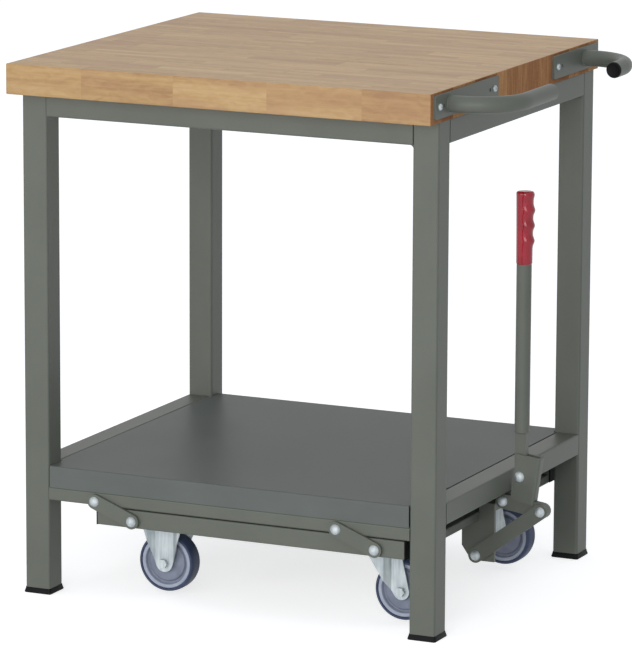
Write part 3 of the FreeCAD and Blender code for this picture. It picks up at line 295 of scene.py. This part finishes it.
def dipped_vinyl():
    """Grip dipped in soft vinyl: a glossy red skin, deeper in colour and glossier where it runs thick."""
    material, tree, shader, place = finish_of("dipped_vinyl_red", IOR=1.53, Specular_IOR_Level=0.4)
    depth = add(tree, "TexNoise", {"Vector": place, "Scale": per_mm(30), "Detail": 2.0})
    colour = add(tree, "ValToRGB", {"Fac": depth}, [(0.3, "#8E0F22"), (0.75, "#A3182B")])
    gloss = add(tree, "MapRange", {"Value": depth, "To Min": 0.08, "To Max": 0.2})
    wave = add(tree, "TexNoise", {"Vector": place, "Scale": per_mm(9), "Detail": 1.0})
    bump = add(tree, "Bump", {"Height": wave, "Strength": 0.08, "Distance": 0.4 * MM})
    feed(shader, {"Base Color": colour, "Roughness": gloss, "Normal": bump})
    return material


# One finish for each material slot, given to every CAD piece
FINISHES = {
    "beech_worktop": beech_block(),
    "frame_paint": powder_coat("powder_coat_grey", "#60635B", "#666961", roughness=0.43, shine=0.22),
    # The shelf has the frame's paint, tinted cooler as a painted reflection of the cool shade under the
    # worktop
    "shelf_paint": powder_coat("powder_coat_shelf_painted_cool_reflection", "#636764", "#696D6A", roughness=0.4, shine=0.06),
    "zinc_plated_steel": zinc_plate(),
    "black_plastic": moulded("moulded_polyethylene_black", "#08080A", "#0F0F12", roughness=0.55,
                             shine=0.12, grit=1.2),
    "red_grip": dipped_vinyl(),
    "tyre_rubber": moulded("moulded_rubber_blue_grey", "#323C56", "#46506A", roughness=0.5,
                           shine=0.3, grit=1.5),
    "rim_plastic": wheel_plastic(),
}
for entry in frame["record"]["subparts"]:
    for slot in nodes[entry["node"]].material_slots:
        slot.material = FINISHES[entry["material_slot"]]


# Shape tools
def span(node):
    """Lowest and highest corner of a CAD node in millimetres."""
    low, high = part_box(node)
    return np.array(low) / MM, np.array(high) / MM


def middle(node):
    """Middle of a CAD node in millimetres."""
    low, high = span(node)
    return (low + high) / 2


def turns(count):
    """Angles in equal steps once round."""
    return np.linspace(0, 2 * np.pi, count, endpoint=False)


def spokes(axis, turn):
    """Unit vectors square to an axis: the cosine of each angle times one side plus the sine times another."""
    axis = np.asarray(axis, float)
    side = np.roll(axis, 1)
    other = np.cross(axis, side)
    return np.cos(turn)[:, None] * side + np.sin(turn)[:, None] * other


def rings(grid, loop=False):
    """Points and faces of a skin over rings of points: each ring is closed, and the ends are closed by
    fans to their middles, or the last ring joins the first where loop is set."""
    count, around = grid.shape[:2]
    points = grid.reshape(-1, 3)
    index = np.arange(count * around).reshape(count, around)
    following = np.roll(index, -1, axis=1)
    upper = np.roll(index, -1, axis=0)
    corner = np.roll(upper, -1, axis=1)
    rows = slice(None) if loop else slice(0, count - 1)
    quads = np.stack([index[rows], following[rows], corner[rows], upper[rows]], axis=-1).reshape(-1, 4)
    if loop:
        return points, [quads]
    middles = grid[[0, -1]].mean(axis=1)
    centre = np.full(around, count * around)
    lower_fan = np.stack([following[0], index[0], centre], axis=-1)
    upper_fan = np.stack([index[-1], following[-1], centre + 1], axis=-1)
    return np.concatenate([points, middles]), [quads, lower_fan, upper_fan]


def formed(name, shells, body, slot, stands_for=(), crease=35, tone=None):
    """One object of several closed skins, riding on a body, with the finish of a slot, and where given
    a tone from nought to one at each point for that finish."""
    points = np.concatenate([shell_points for shell_points, _ in shells])
    starts = np.cumsum([0] + [len(shell_points) for shell_points, _ in shells])
    faces = []
    for start, (_, blocks) in zip(starts, shells):
        for block in blocks:
            faces += (start + block).tolist()
    mesh = bpy.data.meshes.new(name)
    mesh.from_pydata((points * MM).tolist(), [], faces)
    work = bmesh.new()
    work.from_mesh(mesh)
    bmesh.ops.recalc_face_normals(work, faces=work.faces)
    work.to_mesh(mesh)
    work.free()
    if tone is not None:
        mesh.attributes.new("tone", "FLOAT", "POINT").data.foreach_set("value", tone)
    mesh.shade_smooth()
    mesh.set_sharp_from_angle(angle=math.radians(crease))
    mesh.materials.append(FINISHES[slot])
    made = bpy.data.objects.new(name, mesh)
    bpy.context.scene.collection.objects.link(made)
    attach(made, body)
    if stands_for:
        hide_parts(*stands_for)


def softened(corners, radius, steps=5):
    """Closed outline with each corner cut back by radius, or by less on a short edge, and bridged by a
    curve: (1-t)^2 times the point before, plus 2t(1-t) times the corner, plus t^2 times the point after."""
    most_share = 0.45
    corners = np.asarray(corners, float)
    before = np.roll(corners, 1, axis=0) - corners
    after = np.roll(corners, -1, axis=0) - corners
    long_before = np.linalg.norm(before, axis=1, keepdims=True)
    long_after = np.linalg.norm(after, axis=1, keepdims=True)
    a = corners + before / long_before * np.minimum(radius, long_before * most_share)
    b = corners + after / long_after * np.minimum(radius, long_after * most_share)
    t = np.linspace(0, 1, steps)[None, :, None]
    curve = (1 - t) ** 2 * a[:, None] + 2 * t * (1 - t) * corners[:, None] + t ** 2 * b[:, None]
    return curve.reshape(-1, corners.shape[1])


def lathed(outline, centre, axis, count):
    """Outline of (radius, height) turned round an axis: centre + height along it + radius round it."""
    outline = np.asarray(outline, float)
    spoke = spokes(axis, turns(count))
    return centre + outline[:, None, 1:] * np.asarray(axis, float) + outline[:, None, :1] * spoke


# Lever grip
def lever_grip():
    """Dipped grip: radius grows slowly with height, plus a bell for each finger ridge and half a bell for
    the rolled lip, each times a power of the positive part of the cosine round the axis."""
    low, high = span("lever_grip")
    axis = middle("lever_tube")
    bottom = low[2]
    mouth = [0, 0.6]
    sleeve = np.linspace(1.5, 107, 70)
    lip = np.linspace(108.5, 117.4, 9)
    cap_drop = np.array([1.4, 0.6, 0.15, 0])
    cap_radius = [13.6, 12.2, 10, 6]
    radius_at = [0, 0.6, 1.5, 60, 112, 116, 118]
    radius_there = [12.6, 13.1, 13.3, 13.7, 14.3, 14.4, 14.1]
    ridges_at = (38.0, 63.4, 88.7)
    ridge_width = 6.4
    ridge_lift = 3.3
    ridge_power = 1.6
    lip_at = 113.5
    lip_width = 5
    lip_share = 0.5

    height = np.concatenate([mouth, sleeve, lip, high[2] - bottom - cap_drop])
    body_radius = np.interp(height, radius_at, radius_there)
    body_radius[-len(cap_radius):] = cap_radius
    bells = sum(np.exp(-((height - at) / ridge_width) ** 2) for at in ridges_at)
    bells = bells + lip_share * np.exp(-((height - lip_at) / lip_width) ** 2)
    turn = turns(64)
    finger = np.maximum(np.cos(turn), 0) ** ridge_power
    radius = body_radius[:, None] + ridge_lift * bells[:, None] * finger[None, :]
    x = axis[0] + radius * np.cos(turn)
    y = axis[1] + radius * np.sin(turn)
    z = np.broadcast_to(bottom + height[:, None], radius.shape)
    formed("lever_grip_skin", [rings(np.stack([x, y, z], axis=-1))], "lever", "red_grip", ["lever_grip"])


# Wheels
def both_sides(half):
    """Closed outline of (radius, width) from one half of it and its mirror image in the wheel's middle."""
    return half + [(radius, -width) for radius, width in reversed(half)]


def wheels():
    """Rim and tyre turned about the axle from softened outlines of radius and width."""
    rim_half = [(6.06, 18.5), (13.2, 18.5), (14.2, 11.5), (31.5, 10.4),
                (33.4, 7), (36.8, 7), (38.2, 14), (44, 14)]
    rim_corner = 1.3
    tyre_half = [(44.05, 14.6), (45.2, 16), (47.6, 15.4), (49.4, 12), (50, 6)]
    tyre_corner = 2.4
    # The tone goes from nought on the disc, darkened with painted shade of its recess, to one on the lighter
    # ring outside this radius
    ring_start = 36.6
    ring_blend = 1.4
    axle = (0, 1, 0)
    rim_outline = softened(both_sides(rim_half), rim_corner)
    tyre_outline = softened(both_sides(tyre_half), tyre_corner)
    unshaded_ring_share = np.clip((rim_outline[:, 0] - ring_start) / ring_blend, 0, 1)
    for place in ("front_left", "front_right", "rear_left", "rear_right"):
        centre = middle(f"wheel_rim_{place}")
        body = f"wheel_{place}"
        rim = lathed(rim_outline, centre, axle, count=72)
        tone = np.repeat(unshaded_ring_share, rim.shape[1])
        rim_skin = rings(rim, loop=True)
        formed(f"rim_{place}", [rim_skin], body, "rim_plastic", [f"wheel_rim_{place}"], tone=tone)
        tyre = lathed(tyre_outline, centre, axle, count=96)
        formed(f"tyre_{place}", [rings(tyre, loop=True)], body, "tyre_rubber", [f"wheel_tyre_{place}"])


# Feet
def feet():
    """Flared pads: rounded squares stacked by height, wider at the floor, with a small bevel under them.
    Each square is a corner's centre plus its radius times the cosine and sine of the angle."""
    half_leg = 22.5
    corner_steps = 6
    # Rows of height, overhang past the leg and corner radius
    levels = np.array([[0, 1.4, 3], [1.0, 2.2, 3], [2.4, 2.2, 3.5],
                       [7.4, 0.9, 4], [9.4, 0.6, 4], [9.4, -3, 2]])
    quarter = np.linspace(0, np.pi / 2, corner_steps)
    turn = (quarter[None, :] + np.arange(4)[:, None] * np.pi / 2).ravel()
    side_x = np.repeat([1, -1, -1, 1], corner_steps)
    side_y = np.repeat([1, 1, -1, -1], corner_steps)
    half = half_leg + levels[:, 1:2]
    round_off = levels[:, 2:]
    x = (half - round_off) * side_x + round_off * np.cos(turn)
    y = (half - round_off) * side_y + round_off * np.sin(turn)
    z = np.broadcast_to(levels[:, :1], x.shape)
    pad = np.stack([x, y, z], axis=-1)
    shells = [rings(pad + np.append(middle(f"leg_{end}_{side}")[:2], 0))
              for end in ("front", "rear") for side in ("left", "right")]
    formed("foot_pads", shells, "bench", "black_plastic", ["foot_caps"])


# Screws of the handles and of the worktop
def screw(seat, axis, head, dome, shank, length, socket):
    """Round-headed screw: a dome of the sine of the angle from its edge, a six-sided socket whose radius
    follows the sixth harmonic round the axis, and a straight shank behind it."""
    facet = 0.07
    wall_depth = 2.2
    floor_depth = 2.6
    axis = np.asarray(axis, float)
    turn = turns(36)
    lift = np.linspace(0, np.pi / 2, 8)[1:-1]
    radius = np.concatenate([[shank, shank, head], head * np.cos(lift) * (1 - socket / head) + socket])
    turned = np.broadcast_to(radius[:, None], (len(radius), len(turn)))
    edge = socket * (1 + facet * np.cos(6 * turn))
    ring = np.concatenate([turned, np.stack([edge, edge * 0.95, edge * 0.4])])
    depth = [dome, dome - wall_depth, dome - floor_depth]
    height = np.concatenate([[-length, 0, 0], dome * np.sin(lift), depth])
    return rings(np.asarray(seat) + height[:, None, None] * axis + ring[..., None] * spokes(axis, turn))


def wood_screws():
    """Screws at both ends of each handle plate, driven in from the right, and three up through each long
    upper rail, seated on the inside of its top wall."""
    plate_inset = 16
    rail_wall = 2
    shells = []
    for node in ("handle_plate_front", "handle_plate_rear"):
        low, high = span(node)
        for y in (low[1] + plate_inset, high[1] - plate_inset):
            seat = (high[0], y, middle(node)[2])
            shells.append(screw(seat, (1, 0, 0), head=5.5, dome=3.5, shank=2.5, length=34, socket=2.1))
    for node in ("upper_rail_front", "upper_rail_rear"):
        low, high = span(node)
        for share in (0.25, 0.5, 0.75):
            seat = (low[0] + (high[0] - low[0]) * share, middle(node)[1], high[2] - rail_wall)
            shells.append(screw(seat, (0, 0, -1), head=6, dome=3.6, shank=3, length=32, socket=2.4))
    formed("wood_screws", shells, "bench", "zinc_plated_steel", ["worktop_screws"])


# Handle plugs
def handle_plugs():
    """Plugs turned about the tube from (radius, height): a stem in the tube, and a thin soft-edged flange,
    hollowed a little in its middle."""
    stem = [(11.3, -12), (11.3, 0)]
    flange = [(12.9, 0.0), (13.1, 0.9), (12.4, 2.4), (11.2, 2.9), (9.8, 2.2), (3, 1.7)]
    shells = []
    for node, end, way in (("handle_tube_front", 1, 1.0), ("handle_tube_rear", 0, -1.0)):
        corners = span(node)
        centre = np.array([corners[1][0] - HANDLE_RADIUS, corners[end][1], middle(node)[2]])
        shells.append(rings(lathed(stem + flange, centre, (0, way, 0), count=48)))
    formed("tube_plugs", shells, "bench", "black_plastic", ["handle_plugs"])


# Weld beads
def ring_bead(centre, axis, radius, size):
    """Bead round a tube: a circle of a size carried round a ring, swollen by a cosine of the angle as the
    torch stepped."""
    ripple = 0.1
    ripples = 24
    turn = turns(10)
    path = turns(120)
    swell = size * (1 + ripple * np.cos(ripples * path))
    out = radius + swell[:, None] * np.cos(turn)
    rise = swell[:, None] * np.sin(turn)
    spoke = spokes(axis, path)[:, None, :]
    grid = np.asarray(centre) + out[..., None] * spoke + rise[..., None] * np.asarray(axis, float)
    return rings(grid, loop=True)


def corner_bead(start, end, one, two, size):
    """Bead in an inner corner: a hollow quarter arc between two faces, carried along the corner, swollen by
    a cosine of the length and smaller towards its ends."""
    ripple = 0.05
    ripple_pitch = 4
    end_share = 0.45
    end_growth = 14
    # The last point of the arc is its root, a little inside the corner
    root = -0.06
    start = np.asarray(start, float)
    end = np.asarray(end, float)
    along = np.linspace(0, 1, 41)
    swell = size * (1 + ripple * np.cos(2 * np.pi * along * np.linalg.norm(end - start) / ripple_pitch))
    swell = swell * np.clip(np.minimum(along, 1 - along) * end_growth + end_share, 0, 1)
    turn = np.linspace(0, np.pi / 2, 8)
    a = np.append(1 - np.sin(turn), root)[None, :, None]
    b = np.append(1 - np.cos(turn), root)[None, :, None]
    path = start + along[:, None] * (end - start)
    return rings(path[:, None, :] + swell[:, None, None] * (a * np.asarray(one) + b * np.asarray(two)))


def frame_welds():
    """Beads round the handle tubes at their plates, and along the undersides of the rails at the legs."""
    inset = 3
    tube_bead = 1.2
    tube_bead_lift = 0.3
    upper_bead = 7.5
    lower_bead = 3.0
    down = (0, 0, -1)
    shells = []
    for node, way in (("handle_tube_front", 1), ("handle_tube_rear", -1)):
        low, high = span(node)
        y = low[1] + HANDLE_RADIUS if way > 0 else high[1] - HANDLE_RADIUS
        centre = (low[0] + tube_bead_lift, y, middle(node)[2])
        shells.append(ring_bead(centre, (1, 0, 0), HANDLE_RADIUS, tube_bead))
    # Each rail with the axis that it runs along
    rails = [("upper_rail_front", 0, upper_bead), ("upper_rail_rear", 0, upper_bead),
             ("upper_rail_left", 1, upper_bead), ("upper_rail_right", 1, upper_bead),
             ("lower_rail_left", 1, lower_bead), ("lower_rail_right", 1, lower_bead)]
    for node, along, size in rails:
        low, high = span(node)
        across = 1 - along
        for edge, way in ((low[along], 1.0), (high[along], -1.0)):
            start = np.array([0.0, 0.0, low[2]])
            start[along] = edge
            end = start.copy()
            start[across] = low[across] + inset
            end[across] = high[across] - inset
            out = np.zeros(3)
            out[along] = way
            shells.append(corner_bead(start, end, out, down, size))
    formed("frame_welds", shells, "bench", "frame_paint", crease=60)


def lever_weld():
    """Bead between the lever's bar and the foot of its tube."""
    bead_lift = 0.4
    low, _ = span("lever_tube")
    bar = middle("lever_bar")
    bead = ring_bead((bar[0], bar[1], low[2] + bead_lift), (0, 0, 1), radius=11.4, size=1.6)
    formed("lever_weld", [bead], "lever", "frame_paint")


# Floor, light and camera
def white_share(tree):
    """One for rays from the camera, from gloss and through glass, and nought for rays that light things."""
    ray = add(tree, "LightPath").outputs
    seen = add(tree, "Math", {0: ray["Is Camera Ray"], 1: ray["Is Glossy Ray"]}, operation="MAXIMUM")
    return add(tree, "Math", {0: seen, 1: ray["Is Transmission Ray"]}, operation="MAXIMUM")


def surround():
    """Even white surround, which lights the shade a little cooler than the lamps do."""
    world = bpy.data.worlds.new("surround")
    bpy.context.scene.world = world
    world.use_nodes = True
    tree = world.node_tree
    share = white_share(tree)
    shade = linear("#F0F7FF")
    white = linear("#FFFFFF")
    colour = add(tree, "Mix", {"Factor": share, "A": shade, "B": white}, data_type="RGBA")
    strength = add(tree, "MapRange", {"Value": share, "To Min": 0.54, "To Max": 1.0})
    feed(tree.nodes["Background"], {"Color": colour, "Strength": strength})


def pale_floor():
    """Matt floor that takes the shadow, and shows the camera that much white on top of it."""
    reach = 30
    corners = [(-reach, -reach, 0), (reach, -reach, 0), (reach, reach, 0), (-reach, reach, 0)]
    mesh = bpy.data.meshes.new("floor")
    mesh.from_pydata(corners, [], [(0, 1, 2, 3)])
    floor = bpy.data.objects.new("floor", mesh)
    bpy.context.scene.collection.objects.link(floor)
    material, tree, shader, _ = finish_of("pale_floor", Roughness=0.9, Specular_IOR_Level=0.0,
                                          Base_Color=linear("#DCDCDB"), Emission_Color=linear("#FFFFFF"))
    glow = add(tree, "MapRange", {"Value": white_share(tree), "To Min": 0.0, "To Max": 0.69})
    feed(shader, {"Emission Strength": glow})
    mesh.materials.append(material)


def lamp(name, place, target, size, power):
    """Square soft lamp at a place, turned to a target."""
    data = bpy.data.lights.new(name, "AREA")
    data.shape = "SQUARE"
    data.size = size
    data.energy = power
    made = bpy.data.objects.new(name, data)
    made.location = place
    made.rotation_mode = "QUATERNION"
    made.rotation_quaternion = (Vector(target) - Vector(place)).to_track_quat("-Z", "Y")
    bpy.context.scene.collection.objects.link(made)


def camera():
    """Long lens from the right of the front, a little above the worktop, fitted to the photograph."""
    azimuth = math.radians(25.026)
    elevation = math.radians(11.368)
    roll = math.radians(0.248)
    data = bpy.data.cameras.new("camera")
    data.sensor_width = 36
    data.lens = 265.3
    data.clip_end = 100
    made = bpy.data.objects.new("camera", data)
    flat = math.cos(elevation)
    back = Vector((math.sin(azimuth) * flat, -math.cos(azimuth) * flat, math.sin(elevation)))
    made.location = (3.2986, -7.1498, 2.0123)
    made.rotation_mode = "QUATERNION"
    made.rotation_quaternion = (-back).to_track_quat("-Z", "Y") @ Quaternion((0, 0, 1), roll)
    bpy.context.scene.collection.objects.link(made)
    bpy.context.scene.camera = made


lever_grip()
wheels()
feet()
wood_screws()
handle_plugs()
frame_welds()
lever_weld()
surround()
pale_floor()
lamp("key_softbox", (2.0, -8.0, 2.25), target=(0, 0, 0.45), size=4.4, power=310)
lamp("fill_softbox", (-3.2, -7.65, 1.2), target=(0, 0, 0.45), size=3.4, power=155)
lamp("top_softbox", (-0.4, -0.5, 4.0), target=(0, 0, 0.9), size=2.4, power=7)
camera()
bpy.context.scene.view_settings.view_transform = "Standard"
